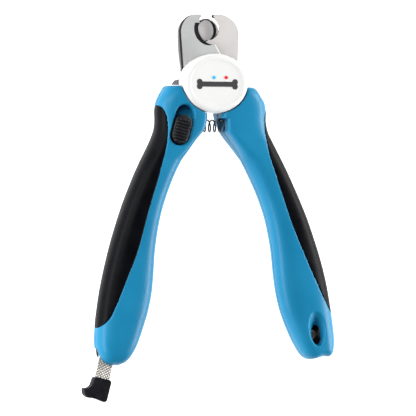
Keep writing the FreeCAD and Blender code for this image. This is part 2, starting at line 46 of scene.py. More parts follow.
# ------------------------------------------------------------------ camera
YAW = math.radians(21.0)
TARGET = Vector((-0.00068, -0.0555, 0.008))
DIST = 1.7
VIEW_W = 0.1860
right = Vector((math.cos(YAW), 0, math.sin(YAW)))
up = Vector((0, 1, 0))
back = Vector((-math.sin(YAW), 0, math.cos(YAW)))
cam_data = bpy.data.cameras.new("camera")
cam_data.sensor_width = 36.0
cam_data.lens = 36.0 * DIST / VIEW_W
cam_data.clip_start = 0.01
cam_data.clip_end = 20.0
cam = bpy.data.objects.new("camera", cam_data)
bpy.context.scene.collection.objects.link(cam)
cam.matrix_world = Matrix.Translation(TARGET + back * DIST) @ Matrix((right, up, back)).transposed().to_4x4()
bpy.context.scene.camera = cam

# ------------------------------------------------------------------ light
scene = bpy.context.scene
scene.view_settings.view_transform = "Standard"
world = bpy.data.worlds.new("studio")
scene.world = world
world.use_nodes = True
world.node_tree.nodes["Background"].inputs["Color"].default_value = (0.95, 0.97, 1.0, 1)
world.node_tree.nodes["Background"].inputs["Strength"].default_value = 0.08


def area(name, loc, aim, sx, sy, power, color=(1, 1, 1)):
    d = bpy.data.lights.new(name, "AREA")
    d.shape = "RECTANGLE"
    d.size, d.size_y = sx, sy
    d.energy = power
    d.color = color
    o = bpy.data.objects.new(name, d)
    scene.collection.objects.link(o)
    o.location = loc
    o.rotation_euler = (Vector(aim) - Vector(loc)).to_track_quat("-Z", "Y").to_euler()
    return o


area("left_box", (-0.64, -0.03, 0.22), (0, -0.05, 0.0), 0.80, 0.30, 7.6)
area("right_box", (0.64, -0.03, 0.22), (0, -0.05, 0.0), 0.80, 0.30, 11.5)
area("key_box", (-0.62, 0.42, 0.85), (-0.02, -0.05, 0.0), 0.5, 0.5, 6.5)

# ------------------------------------------------------------------ meshes


def new_obj(name, verts, faces, smooth=True):
    m = bpy.data.meshes.new(name)
    m.from_pydata([tuple(v) for v in verts], [], [tuple(f) for f in faces])
    m.validate()
    bm = bmesh.new()
    bm.from_mesh(m)
    bmesh.ops.recalc_face_normals(bm, faces=bm.faces)
    bm.to_mesh(m)
    bm.free()
    o = bpy.data.objects.new(name, m)
    scene.collection.objects.link(o)
    if smooth:
        m.shade_smooth()
    return o


def bake(o):
    """Apply the modifiers of o to its mesh."""
    dg = bpy.context.evaluated_depsgraph_get()
    m = bpy.data.meshes.new_from_object(o.evaluated_get(dg))
    m.name = o.name
    old = o.data
    o.modifiers.clear()
    o.data = m
    if old.users == 0:
        bpy.data.meshes.remove(old)
    return o


def drop(*objs):
    for o in objs:
        m = o.data
        bpy.data.objects.remove(o)
        if m.users == 0:
            bpy.data.meshes.remove(m)


def boolean(o, cutter, op="DIFFERENCE"):
    md = o.modifiers.new("b", "BOOLEAN")
    md.operation = op
    md.object = cutter
    md.solver = "MANIFOLD"
    return bake(o)


def cut_all(o, cutters):
    for c in cutters:
        boolean(o, c)
    return o


def copy_obj(o, name):
    c = bpy.data.objects.new(name, o.data.copy())
    c.data.name = name
    scene.collection.objects.link(c)
    return c


def prism(name, pts, z0, z1):
    n = len(pts)
    a = sum(pts[i][0] * pts[(i + 1) % n][1] - pts[(i + 1) % n][0] * pts[i][1] for i in range(n))
    if a < 0:
        pts = pts[::-1]
    v = [(p[0] * MM, p[1] * MM, z0 * MM) for p in pts] + [(p[0] * MM, p[1] * MM, z1 * MM) for p in pts]
    f = [tuple(range(n - 1, -1, -1)), tuple(range(n, 2 * n))]
    f += [(i, (i + 1) % n, n + (i + 1) % n, n + i) for i in range(n)]
    return new_obj(name, v, f, smooth=False)


def loft(name, rings, closed=True):
    n = len(rings[0])
    v = [p for r in rings for p in r]
    f = []
    for k in range(len(rings) - 1):
        for i in range(n):
            j = (i + 1) % n
            f.append((k * n + i, k * n + j, (k + 1) * n + j, (k + 1) * n + i))
    if closed:
        f.append(tuple(range(n)))
        f.append(tuple(range(len(v) - 1, len(v) - 1 - n, -1)))
    return new_obj(name, [(p[0] * MM, p[1] * MM, p[2] * MM) for p in v], f)


def oval(a, b, n=160, cx=0.0, cy=0.0, rot=0.0):
    out = []
    for i in range(n):
        t = 2 * math.pi * i / n
        x, y = a * math.cos(t), b * math.sin(t)
        out.append((cx + x * math.cos(rot) - y * math.sin(rot), cy + x * math.sin(rot) + y * math.cos(rot)))
    return out


def stadium(p, q, r, n=24):
    ang = math.atan2(q[1] - p[1], q[0] - p[0])
    out = []
    for i in range(n + 1):
        t = ang - math.pi / 2 + math.pi * i / n
        out.append((q[0] + r * math.cos(t), q[1] + r * math.sin(t)))
    for i in range(n + 1):
        t = ang + math.pi / 2 + math.pi * i / n
        out.append((p[0] + r * math.cos(t), p[1] + r * math.sin(t)))
    return out


def curve_pts(pts, per=8):
    """Catmull-Rom through 2-D points."""
    P = [np.array(p, float) for p in pts]
    P = [2 * P[0] - P[1]] + P + [2 * P[-1] - P[-2]]
    out = []
    for i in range(1, len(P) - 2):
        a, b, c, d = P[i - 1], P[i], P[i + 1], P[i + 2]
        for k in range(per):
            t = k / per
            out.append(0.5 * ((2 * b) + (-a + c) * t + (2 * a - 5 * b + 4 * c - d) * t * t + (-a + 3 * b - 3 * c + d) * t ** 3))
    out.append(P[-2])
    return [tuple(p) for p in out]


def pchip(xs, ys, q):
    """Monotone cubic interpolation, xs rising."""
    xs, ys, q = np.array(xs, float), np.array(ys, float), np.array(q, float)
    h = np.diff(xs)
    d = np.diff(ys) / h
    m = np.zeros_like(ys)
    for i in range(1, len(xs) - 1):
        if d[i - 1] * d[i] > 0:
            w1, w2 = 2 * h[i] + h[i - 1], h[i] + 2 * h[i - 1]
            m[i] = (w1 + w2) / (w1 / d[i - 1] + w2 / d[i])
    m[0], m[-1] = d[0], d[-1]
    k = np.clip(np.searchsorted(xs, q, side="right") - 1, 0, len(xs) - 2)
    t = (q - xs[k]) / h[k]
    return ((1 + 2 * t) * (1 - t) ** 2 * ys[k] + t * (1 - t) ** 2 * h[k] * m[k]
            + t * t * (3 - 2 * t) * ys[k + 1] + t * t * (t - 1) * h[k] * m[k + 1])


# ------------------------------------------------------------------ handles
THICK, MID = 16.5, 8.25
LEFT = [
    (-1.0, -20.2, -2.0, 2.2), (-1.7, -21.2, -2.0, 1.0), (-3.2, -22.1, -2.0, 0.3),
    (-5.5, -23.5, -2.2, 0.0), (-9.0, -24.9, -2.6, 0.0), (-13.0, -25.3, -3.1, 0.0),
    (-16.0, -25.2, -3.3, 0.0), (-18.5, -25.3, -3.8, 0.0), (-20.5, -25.6, -4.6, 0.0),
    (-22.5, -26.2, -6.2, 0.0), (-25.0, -27.2, -8.4, 0.0), (-30.0, -29.6, -12.0, 0.0),
    (-35.0, -32.2, -15.2, 0.0), (-40.0, -34.6, -17.8, 0.0), (-46.0, -37.2, -20.4, 0.0),
    (-52.0, -39.7, -22.6, 0.0), (-60.0, -42.6, -24.9, 0.0), (-68.0, -45.2, -26.4, 0.0),
    (-76.0, -47.5, -27.4, 0.0), (-84.0, -49.5, -27.9, 0.0), (-92.0, -51.2, -28.6, 0.0),
    (-100.0, -52.5, -30.15, 0.0), (-108.0, -53.4, -32.6, 0.0), (-114.0, -53.7, -34.8, 0.0),
    (-118.0, -53.4, -36.5, 0.3), (-120.5, -52.8, -37.8, 0.8), (-122.5, -51.7, -39.2, 1.7),
    (-124.0, -50.0, -41.0, 3.0), (-125.0, -47.8, -43.4, 4.9),
]
RIGHT = [
    (-1.4, 2.0, 19.8, 2.2), (-2.1, 2.0, 20.9, 1.0), (-3.6, 2.1, 22.1, 0.3),
    (-5.8, 2.3, 23.5, 0.0), (-9.0, 2.8, 25.3, 0.0), (-13.0, 3.5, 25.8, 0.0),
    (-16.0, 4.2, 25.7, 0.0), (-18.5, 5.2, 26.0, 0.0), (-20.5, 6.1, 26.4, 0.0),
    (-22.5, 7.3, 27.1, 0.0), (-25.0, 9.2, 28.4, 0.0), (-30.0, 13.2, 31.1, 0.0),
    (-35.0, 16.4, 33.8, 0.0), (-40.0, 19.1, 36.4, 0.0), (-46.0, 22.1, 39.3, 0.0),
    (-52.0, 24.7, 42.1, 0.0), (-60.0, 27.5, 45.6, 0.0), (-68.0, 29.4, 48.6, 0.0),
    (-76.0, 30.7, 51.4, 0.0), (-84.0, 31.5, 53.8, 0.0), (-92.0, 32.6, 55.7, 0.0),
    (-100.0, 34.4, 57.1, 0.0), (-108.0, 37.3, 58.3, 0.0), (-114.0, 40.1, 58.9, 0.0),
    (-118.0, 42.2, 59.0, 0.3), (-120.3, 43.4, 58.8, 0.8), (-122.0, 44.6, 58.2, 1.6),
    (-123.1, 45.8, 56.8, 2.8), (-123.8, 47.0, 54.4, 4.6),
]
LGRIP = [(-27.5, -8.9), (-25.6, -9.7), (-24.1, -11.2), (-22.8, -14.4), (-22.3, -18.4), (-22.4, -21.5),
         (-22.8, -25.1), (-23.4, -28.0), (-24.3, -31.8), (-25.5, -35.8), (-27.4, -42.5),
         (-30.4, -51.9), (-32.8, -60.0), (-35.6, -70.0), (-37.4, -75.6), (-39.3, -80.5),
         (-42.1, -87.0), (-44.9, -94.0), (-47.5, -100.2), (-50.4, -105.4), (-55.5, -110.0)]
RGRIP = [(28.5, -9.4), (26.3, -10.2), (24.9, -12.2), (24.1, -15.2), (23.9, -18.4), (24.0, -21.8),
         (24.4, -25.1), (25.3, -30.0), (26.7, -35.0), (28.5, -40.0), (30.6, -46.0),
         (32.8, -52.0), (35.6, -60.0), (38.9, -68.0), (42.4, -76.0), (46.1, -84.0),
         (49.9, -91.5), (53.0, -97.2), (56.2, -102.0), (61.5, -105.8)]
POWER = 2.55


def handle(name, tab, inner, dl=0.0, dr=0.0, dz=0.0, step=0.7, n=96, warp=None):
    tab = tab[::-1]
    ys = [r[0] for r in tab]
    q = [ys[0]]
    while q[-1] < ys[-1]:
        y = q[-1]
        near = min(y - ys[0], ys[-1] - y)
        q.append(min(ys[-1], y + (0.25 if near < 4 else step)))
    xl, xr, zz = (pchip(ys, [r[i] for r in tab], q) for i in (1, 2, 3))
    rings = []
    for y, a, b, d in zip(q, xl, xr, zz):
        tip = min(1.0, max(0.0, (y + 34.0) / 10.0))
        full = 0.5 * min(1.0, max(0.0, (y + 122.5) / 6.0))
        a -= full * (1.0 - tip if inner < 0 else 1.0)
        b += full * (1.0 - tip if inner > 0 else 1.0)
        a, b = a + dl, b - dr
        hz = THICK / 2 - d - dz
        cx, hx = (a + b) / 2, (b - a) / 2
        ring = []
        for i in range(n):
            t = 2 * math.pi * (i + 0.5) / n
            c, s = math.cos(t), math.sin(t)
            p = POWER + (4.0 * tip if c * inner > 0 else 0.0)
            x = cx + hx * math.copysign(abs(c) ** (2 / p), c)
            ring.append((x, y + (warp(x, y) if warp else 0.0), MID + hz * math.copysign(abs(s) ** (2 / p), s)))
        rings.append(ring)
    return loft(name, rings)


def rot_bar(s0, s1, w, z0, z1, off=0.0):
    """Bar on the file axis."""
    ox, oy, dx, dy = -49.6, -124.4, -0.2300, -0.9732
    pts = []
    for s, o in ((s0, -w / 2), (s1, -w / 2), (s1, w / 2), (s0, w / 2)):
        o += off
        pts.append((ox + dx * s - dy * o, oy + dy * s + dx * o))
    return pts, z0, z1


U = Vector((2.6, 9.4)).normalized()
SLOT_TOP, SLOT_BOT = (-14.5, -13.9), (-17.1, -23.3)
POST = (-17.1 + 2.6 * 0.30, -23.3 + 9.4 * 0.30)
TONGUE = [(-7.7, -11.5), (-5.4, -11.7), (-6.6, -14.1), (-10.4, -16.2), (-12.9, -22.6),
          (-17.4, -21.4), (-16.4, -17.0), (-12.4, -15.0), (-8.4, -13.2)]


def round_x(name, x0, x1, y, z, r, n=40):
    rings = []
    for x in (x0, x1):
        rings.append([(x, y + r * math.cos(2 * math.pi * i / n), z + r * math.sin(2 * math.pi * i / n)) for i in range(n)])
    return loft(name, rings)


def finish_shell(o, voxel, smooth=3, factor=0.45):
    md = o.modifiers.new("r", "REMESH")
    md.mode = "VOXEL"
    md.voxel_size = voxel * MM
    md.use_smooth_shade = True
    s = o.modifiers.new("s", "SMOOTH")
    s.factor = factor
    s.iterations = smooth
    bake(o)
    o.data.shade_smooth()
    return o


hollow = prism("c_hollow", oval(15.75, 13.6, 240), -2, 19)
VOX = 0.34


def grip_region(name, pts, xo):
    c = curve_pts(pts, 8)
    return prism(name, c + [(xo, pts[-1][1]), (xo, pts[0][1])], -2, 19)


def split(o, name, z0, z1):
    c = copy_obj(o, name)
    b = prism("c_half", [(-80, -150), (90, -150), (90, 30), (-80, 30)], z0, z1)
    boolean(c, b, "INTERSECT")
    drop(b)
    return c


# left handle
lraw = handle("l_raw", LEFT, 1)
boolean(lraw, hollow)
lreg = grip_region("c_lreg", LGRIP, -70)
lcore = handle("c_lcore", LEFT, 1, 2.0, -3.0, 2.0, step=1.5, n=64)
left_grip = copy_obj(lraw, "left_grip_soft")
boolean(left_grip, lreg, "INTERSECT")
boolean(left_grip, lcore)
lblue = copy_obj(lraw, "l_blue")
boolean(lblue, left_grip)
cut = []
# thumb slot with a softly flared mouth
sl = []
for z, r in ((11.2, 4.3), (15.0, 4.3), (15.8, 4.45), (16.2, 4.75), (17.4, 6.0)):
    sl.append([(p[0], p[1], z) for p in stadium(SLOT_BOT, SLOT_TOP, r, 32)])
cut.append(loft("c_slot", sl))
cut.append(prism("c_slit", stadium((POST[0] - U.x * 0.3, POST[1] - U.y * 0.3), (POST[0] + U.x * 4.3, POST[1] + U.y * 4.3), 1.8), 8.2, 11.4))
for k in range(3):
    d = 2.0 * k
    cut.append(prism("c_tongue%d" % k, [(p[0] + U.x * d + (0.25 if p[0] > -9 else -0.25), p[1] + U.y * d) for p in TONGUE], 8.2, 9.66))
cut.append(round_x("c_bore", -8.05, 2.0, -18.85, MID, 3.46))
pts, z0, z1 = rot_bar(-75.0, 14.0, 7.3, MID - 0.95, MID + 0.95)
cut.append(prism("c_chan", pts, z0, z1))
cut_all(lblue, cut)
drop(*cut)
pts, z0, z1 = rot_bar(-5.7, 14.0, 6.0, -2.0, MID + 0.95, off=-6.65)
spur = prism("c_spur", pts, z0, z1)
boolean(lblue, spur)
drop(spur)
left_front = split(lblue, "left_casing_front", MID, 20)
left_rear = split(lblue, "left_casing_rear", -5, MID)
drop(lblue, lraw, lreg, lcore)

# right handle, with its shallow hollow under the foot


def foot_wave(x, y):
    k = min(1.0, max(0.0, (-y - 112.0) / 8.0))
    return k * k * (3 - 2 * k) * 1.25 * math.exp(-((x - 53.4) / 3.0) ** 2)


rraw = handle("r_raw", RIGHT, -1, warp=foot_wave)
boolean(rraw, hollow)
rreg = grip_region("c_rreg", RGRIP, 75)
rcore = handle("c_rcore", RIGHT, -1, -3.0, 2.0, 2.0, step=1.5, n=64)
right_grip = copy_obj(rraw, "right_grip_soft")
boolean(right_grip, rreg, "INTERSECT")
boolean(right_grip, rcore)
rblue = copy_obj(rraw, "r_blue")
boolean(rblue, right_grip)
cut = []
cut.append(round_x("c_seat", -4.0, 6.65, -18.85, MID, 3.46))
cut.append(prism("c_seat2", [(-3, -18.85 - 3.4), (6.65, -18.85 - 3.4), (6.65, -18.85 + 3.4), (-3, -18.85 + 3.4)], MID, 19))
HX, HY = 49.6, -112.6
ROT = math.radians(97)
HD = (math.cos(ROT), math.sin(ROT))
cut.append(loft("c_hang", [[(p[0], p[1], z) for p in oval(r, r, 64, HX, HY)] for z, r in ((-1.0, 3.6), (0.0, 2.9), (1.1, 2.12), (8.7, 2.12))]))
cut.append(prism("c_well", stadium((HX - HD[0] * 2.1, HY - HD[1] * 2.1), (HX + HD[0] * 2.1, HY + HD[1] * 2.1), 2.2, 24), 8.6, 18.0))
w = []
for z, a, b, cx, cy in ((12.4, 4.25, 2.1, 0.0, 0.0), (13.1, 4.7, 2.4, 0.0, 0.25), (14.2, 5.8, 2.95, -0.2, 1.1),
                        (15.3, 6.9, 3.5, -0.4, 1.9), (16.2, 7.9, 4.1, -0.55, 2.5), (16.6, 8.6, 4.7, -0.6, 2.75), (17.6, 10.4, 6.4, -0.6, 2.9)):
    w.append([(p[0], p[1], z) for p in oval(a, b, 72, HX + cx, HY + cy, ROT)])
cut.append(loft("c_dish", w))
cut_all(rblue, cut)
drop(*cut)
right_front = split(rblue, "right_casing_front", MID, 20)
right_rear = split(rblue, "right_casing_rear", -5, MID)
drop(rblue, rraw, rreg, rcore, hollow)

for o in (left_front, left_rear, right_front, right_rear, left_grip, right_grip):
    finish_shell(o, VOX)

for o, nodes, body in (
        (left_front, ["left_front_shell"], "left_handle"), (left_rear, ["left_rear_shell"], "left_handle"),
        (left_grip, ["left_grip"], "left_handle"), (right_front, ["right_front_shell"], "right_handle"),
        (right_rear, ["right_rear_shell"], "right_handle"), (right_grip, ["right_grip"], "right_handle")):
    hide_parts(*nodes)
    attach(o, body)

# ------------------------------------------------------------------ materials


def material(name, base, rough, metallic=0.0, spec=0.5, coat=0.0, coat_rough=0.1):
    m = bpy.data.materials.new(name)
    m.use_nodes = True
    nt = m.node_tree
    b = nt.nodes["Principled BSDF"]
    b.inputs["Base Color"].default_value = (*base, 1)
    b.inputs["Roughness"].default_value = rough
    b.inputs["Metallic"].default_value = metallic
    b.inputs["Specular IOR Level"].default_value = spec
    b.inputs["Coat Weight"].default_value = coat
    b.inputs["Coat Roughness"].default_value = coat_rough
    return m, nt, b


def tex_coord(nt, scale=(1, 1, 1), rot=(0, 0, 0)):
    tc = nt.nodes.new("ShaderNodeTexCoord")
    mp = nt.nodes.new("ShaderNodeMapping")
    mp.inputs["Scale"].default_value = scale
    mp.inputs["Rotation"].default_value = rot
    nt.links.new(tc.outputs["Object"], mp.inputs["Vector"])
    return mp.outputs["Vector"]


def noise(nt, vec, scale, detail=3.0, rough=0.5):
    n = nt.nodes.new("ShaderNodeTexNoise")
    n.inputs["Scale"].default_value = scale
    n.inputs["Detail"].default_value = detail
    n.inputs["Roughness"].default_value = rough
    nt.links.new(vec, n.inputs["Vector"])
    return n.outputs["Fac"]


def ramp(nt, fac, stops):
    r = nt.nodes.new("ShaderNodeValToRGB")
    r.color_ramp.elements[0].position = stops[0][0]
    r.color_ramp.elements[0].color = (*stops[0][1], 1)
    r.color_ramp.elements[1].position = stops[-1][0]
    r.color_ramp.elements[1].color = (*stops[-1][1], 1)
    for p, c in stops[1:-1]:
        e = r.color_ramp.elements.new(p)
        e.color = (*c, 1)
    nt.links.new(fac, r.inputs["Fac"])
    return r.outputs["Color"]


def maprange(nt, fac, a, b, lo, hi):
    m = nt.nodes.new("ShaderNodeMapRange")
    m.inputs["From Min"].default_value = a
    m.inputs["From Max"].default_value = b
    m.inputs["To Min"].default_value = lo
    m.inputs["To Max"].default_value = hi
    nt.links.new(fac, m.inputs["Value"])
    return m.outputs["Result"]


def bump(nt, bsdf, height, strength, dist, prev=None):
    b = nt.nodes.new("ShaderNodeBump")
    b.inputs["Strength"].default_value = strength
    b.inputs["Distance"].default_value = dist
    nt.links.new(height, b.inputs["Height"])
    if prev is not None:
        nt.links.new(prev, b.inputs["Normal"])
    nt.links.new(b.outputs["Normal"], bsdf.inputs["Normal"])
    return b.outputs["Normal"]


def mat_blue():
    m, nt, b = material("blue_moulded_plastic", (0.011, 0.165, 0.35), 0.40, 0.0, 0.13)
    v = tex_coord(nt)
    big = noise(nt, v, 45.0, 2.0)
    col = ramp(nt, big, [(0.3, (0.0075, 0.158, 0.300)), (0.7, (0.0110, 0.182, 0.335))])
    nt.links.new(col, b.inputs["Base Color"])
    fine = noise(nt, v, 2600.0, 2.0)
    mid = noise(nt, v, 260.0, 3.0)
    nt.links.new(maprange(nt, mid, 0.3, 0.7, 0.29, 0.38), b.inputs["Roughness"])
    n1 = bump(nt, b, fine, 0.12, 0.00006)
    bump(nt, b, big, 0.10, 0.0006, n1)
    return m


def mat_rubber():
    m, nt, b = material("black_soft_rubber", (0.003, 0.0032, 0.0045), 0.42, 0.0, 0.04)
    v = tex_coord(nt)
    mott = noise(nt, v, 160.0, 4.0)
    col = ramp(nt, mott, [(0.3, (0.0015, 0.0017, 0.0024)), (0.75, (0.0032, 0.0034, 0.0046))])
    nt.links.new(col, b.inputs["Base Color"])
    nt.links.new(maprange(nt, mott, 0.3, 0.7, 0.33, 0.41), b.inputs["Roughness"])
    vor = nt.nodes.new("ShaderNodeTexVoronoi")
    vor.inputs["Scale"].default_value = 1500.0
    nt.links.new(v, vor.inputs["Vector"])
    n1 = bump(nt, b, vor.outputs["Distance"], 0.12, 0.00006)
    bump(nt, b, noise(nt, v, 700.0, 4.0), 0.10, 0.00008, n1)
    return m


def mat_white():
    m, nt, b = material("white_gloss_plastic", (0.80, 0.805, 0.80), 0.22, 0.0, 0.4, 0.15, 0.08)
    v = tex_coord(nt)
    n = noise(nt, v, 60.0, 3.0)
    nt.links.new(ramp(nt, n, [(0.3, (0.645, 0.650, 0.640)), (0.7, (0.665, 0.670, 0.660))]), b.inputs["Base Color"])
    nt.links.new(maprange(nt, noise(nt, v, 400.0, 2.0), 0.3, 0.7, 0.13, 0.2), b.inputs["Roughness"])
    bump(nt, b, noise(nt, v, 90.0, 2.0), 0.06, 0.0005)
    return m


def mat_blackplastic(spec=0.03):
    m, nt, b = material("black_textured_plastic", (0.006, 0.006, 0.009), 0.50, 0.0, spec)
    v = tex_coord(nt)
    n = noise(nt, v, 300.0, 4.0)
    nt.links.new(ramp(nt, n, [(0.3, (0.006, 0.006, 0.0085)), (0.7, (0.012, 0.012, 0.015))]), b.inputs["Base Color"])
    nt.links.new(maprange(nt, n, 0.3, 0.7, 0.36, 0.5), b.inputs["Roughness"])
    bump(nt, b, noise(nt, v, 1800.0, 3.0), 0.35, 0.00007)
    return m


def mat_steel(name, c0, c1, rough, streak=(30, 2600, 400), metallic=0.85, angle=0.0, bump_s=0.12, spec=0.5):
    m, nt, b = material(name, c0, rough, metallic, spec)
    v = tex_coord(nt, streak, (0, 0, angle))
    st = noise(nt, v, 1.0, 4.0, 0.6)
    cloud = noise(nt, tex_coord(nt), 120.0, 3.0)
    mix = nt.nodes.new("ShaderNodeMix")
    mix.data_type = "RGBA"
    mix.inputs["Factor"].default_value = 0.5
    nt.links.new(ramp(nt, st, [(0.25, c0), (0.75, c1)]), mix.inputs["A"])
    nt.links.new(ramp(nt, cloud, [(0.3, c0), (0.7, c1)]), mix.inputs["B"])
    nt.links.new(mix.outputs["Result"], b.inputs["Base Color"])
    nt.links.new(maprange(nt, st, 0.2, 0.8, rough - 0.06, rough + 0.08), b.inputs["Roughness"])
    bump(nt, b, st, bump_s, 0.00005)
    return m


M_BLUE, M_RUB, M_WHITE, M_BLK = mat_blue(), mat_rubber(), mat_white(), mat_blackplastic()
# this black material is painted shade: it is laid on the cut wall beside the file channel and inside the hanging
# hole
M_SHADE_BLACK = mat_blackplastic()
M_BLK_S = mat_blackplastic(0.30)
M_BLK_S.name = "black_slider_plastic"
M_SHADE_BLACK.name = "painted_shade_black_plastic"
M_BLADE_F = mat_steel("front_blade_steel", (0.41, 0.415, 0.415), (0.48, 0.485, 0.48), 0.42, metallic=0.25)
M_BLADE_R = mat_steel("rear_blade_steel", (0.54, 0.515, 0.50), (0.61, 0.585, 0.57), 0.42, metallic=0.25)
# near-black steel for the blade side walls and bevel: painted shade
M_BLADE_SIDE_SHADE = mat_steel("blade_side_painted_shade", (0.004, 0.004, 0.005), (0.011, 0.0105, 0.011), 0.6, (500, 500, 2600), 0.0, spec=0.02)
# near-black guard material: painted shade on the ring around the pad; it also makes the guard's small tab
# near-black
M_GUARD_SHADE_AND_TAB = mat_steel("guard_painted_shade_and_dark_tab", (0.018, 0.017, 0.018), (0.035, 0.034, 0.035), 0.55, metallic=0.0, spec=0.08)
# dark steel for the groove floors of the file: painted shade
M_GROOVE_SHADE = mat_steel("file_groove_painted_shade", (0.05, 0.048, 0.045), (0.12, 0.115, 0.11), 0.5, (900, 900, 900), 0.2, spec=0.2)
M_GUARD = mat_steel("guard_steel", (0.26, 0.255, 0.25), (0.32, 0.315, 0.31), 0.45, metallic=0.2)
# much lighter copy of the guard steel for the pad: painted light
M_PAD_PAINTED_LIGHT = mat_steel("guard_pad_painted_light", (0.78, 0.75, 0.745), (0.86, 0.83, 0.825), 0.55, metallic=0.0)
M_HARD = mat_steel("turned_steel", (0.5, 0.5, 0.5), (0.62, 0.62, 0.62), 0.3, (900, 900, 900))
M_SPRING = mat_steel("black_spring_wire", (0.02, 0.02, 0.022), (0.05, 0.05, 0.052), 0.32, (1500, 300, 300), 0.8)
M_FILE = mat_steel("file_steel", (0.60, 0.575, 0.53), (0.70, 0.675, 0.63), 0.38, (800, 800, 800), 0.25, 0.0, 0.2)


def paint(o, *mats):
    o.data.materials.clear()
    for m in mats:
        o.data.materials.append(m)


for o in (left_front, left_rear, right_front, right_rear):
    paint(o, M_BLUE, M_SHADE_BLACK)
# the inner walls of the hanging hole get the black material: painted shade inside the hole
for o in (right_front, right_rear):
    for p in o.data.polygons:
        c = p.center / MM
        u = (c.x - 49.6) * math.cos(math.radians(97)) + (c.y + 112.6) * math.sin(math.radians(97))
        r = math.hypot(c.x - 49.6 - max(-2.1, min(2.1, u)) * math.cos(math.radians(97)),
                       c.y + 112.6 - max(-2.1, min(2.1, u)) * math.sin(math.radians(97)))
        if r < 2.45 and 0.4 < c.z < 12.0:
            p.material_index = 1
# faces of the cut wall beside the file channel get the black material: painted shade in the slit beside the file
for o in (left_front, left_rear):
    for p in o.data.polygons:
        c = p.center / MM
        along = (c.x + 49.6) * -0.2300 + (c.y + 124.4) * -0.9732
        across = (c.x + 49.6) * 0.9732 + (c.y + 124.4) * -0.2300
        if -9.6 < along < 14.0 and c.z < MID + 1.0 and abs(p.normal.z) < 0.75 and -4.1 < across < -3.2:
            p.material_index = 1
for o in (left_grip, right_grip):
    paint(o, M_RUB)

# ------------------------------------------------------------------ steel parts


def from_node(node, name, bevel=0.0, seg=2, angle=35.0):
    """A finer piece that starts as a copy of a CAD node's mesh."""
    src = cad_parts[node]
    src = src if isinstance(src, bpy.types.Object) else bpy.data.objects[node]
    o = copy_obj(src, name)
    o.matrix_world = src.matrix_world.copy()
    bm = bmesh.new()
    bm.from_mesh(o.data)
    bmesh.ops.remove_doubles(bm, verts=bm.verts, dist=2e-6)
    bmesh.ops.dissolve_limit(bm, angle_limit=math.radians(1.0), verts=bm.verts, edges=bm.edges)
    bm.to_mesh(o.data)
    bm.free()
    if bevel:
        md = o.modifiers.new("bev", "BEVEL")
        md.width = bevel * MM
        md.segments = seg
        md.limit_method = "ANGLE"
        md.angle_limit = math.radians(angle)
        md.use_clamp_overlap = True
        bake(o)
    o.data.shade_smooth()
    o.data.set_sharp_from_angle(angle=math.radians(50))
    wn = o.modifiers.new("wn", "WEIGHTED_NORMAL")
    wn.mode = "FACE_AREA"
    wn.weight = 100
    wn.keep_sharp = True
    bake(o)
    return o


def ride_as(o, node, body, slot_name, *mats):
    paint(o, *mats)
    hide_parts(node)
    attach(o, body)


front = from_node("front_blade", "front_blade_ground", 0.10)
ride_as(front, "front_blade", "right_handle", "blade_steel", M_BLADE_F, M_BLADE_SIDE_SHADE)
rear = from_node("rear_blade", "rear_blade_ground", 0.10)
ride_as(rear, "rear_blade", "left_handle", "blade_steel", M_BLADE_R, M_BLADE_SIDE_SHADE)
# side walls and the bevel of the blades are painted near-black: painted shade
for o in (front, rear):
    for p in o.data.polygons:
        p.material_index = 1 if abs(p.normal.z) < 0.93 else 0
guard = from_node("safety_guard", "safety_guard_plate", 0.08)
ride_as(guard, "safety_guard", "guard", "guard_steel", M_GUARD, M_GUARD_SHADE_AND_TAB, M_PAD_PAINTED_LIGHT)
# the ring around the pad gets the near-black material as painted shade; the small tab at the lower left is also
# made near-black
for p in guard.data.polygons:
    c = p.center
    in_ring = math.hypot((c.x / MM + 0.35) / 5.2, (c.y / MM - 24.0) / 5.4) < 1.0
    p.material_index = 0
    # the pad top gets the lighter copy of the guard steel: painted light on the pad inside the nail hole
    if in_ring and p.normal.z > 0.5:
        p.material_index = 2 if c.z > 0.00395 else 1
    elif in_ring or (c.y < 0.006 and c.x < -0.009):
        p.material_index = 1

for node, body, mat in (("pivot_barrel", "left_handle", M_HARD), ("pivot_screw", "left_handle", M_HARD),
                        ("blade_washer", "left_handle", M_HARD), ("spring_washer", "left_handle", M_HARD),
                        ("left_tang_pins", "left_handle", M_HARD), ("right_tang_pins", "right_handle", M_HARD),
                        ("lock_plate", "lock", M_HARD), ("lock_detent", "left_handle", M_HARD),
                        ("file_detent", "left_handle", M_HARD)):
    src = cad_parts[node]
    src = src if isinstance(src, bpy.types.Object) else bpy.data.objects[node]
    for s in src.material_slots:
        s.material = mat

# ------------------------------------------------------------------ cap
prof = [(1.0, 9.85), (1.0, 10.0), (1.0, 14.4), (1.0, 15.2)]
prof_abs = []          # (inset from the outer oval in mm, z)
prof_abs += [(0.25, 9.82), (0.0, 10.05), (0.0, 12.5), (0.0, 15.0)]
for k in range(0, 9):
    t = math.radians(90 * k / 8)
    prof_abs.append((2.2 * (1 - math.cos(t)), 15.05 + 2.2 * math.sin(t)))
prof_abs += [(2.5, 17.26), (2.75, 17.2), (3.0, 17.08), (3.25, 17.0), (3.6, 16.95), (5.0, 16.88), (7.5, 16.8), (10.0, 16.76), (12.0, 16.75)]
rings = []
for ins, z in prof_abs:
    rings.append([(p[0], p[1], z) for p in oval(15.4 - ins, 13.25 - ins * 0.98, 200)])
n = 200
verts = [p for r in rings for p in r]
faces = []
for k in range(len(rings) - 1):
    for i in range(n):
        j = (i + 1) % n
        faces.append((k * n + i, k * n + j, (k + 1) * n + j, (k + 1) * n + i))
top_c = len(verts)
verts.append((0, 0, 16.75))
k = len(rings) - 1
faces += [(k * n + i, k * n + (i + 1) % n, top_c) for i in range(n)]
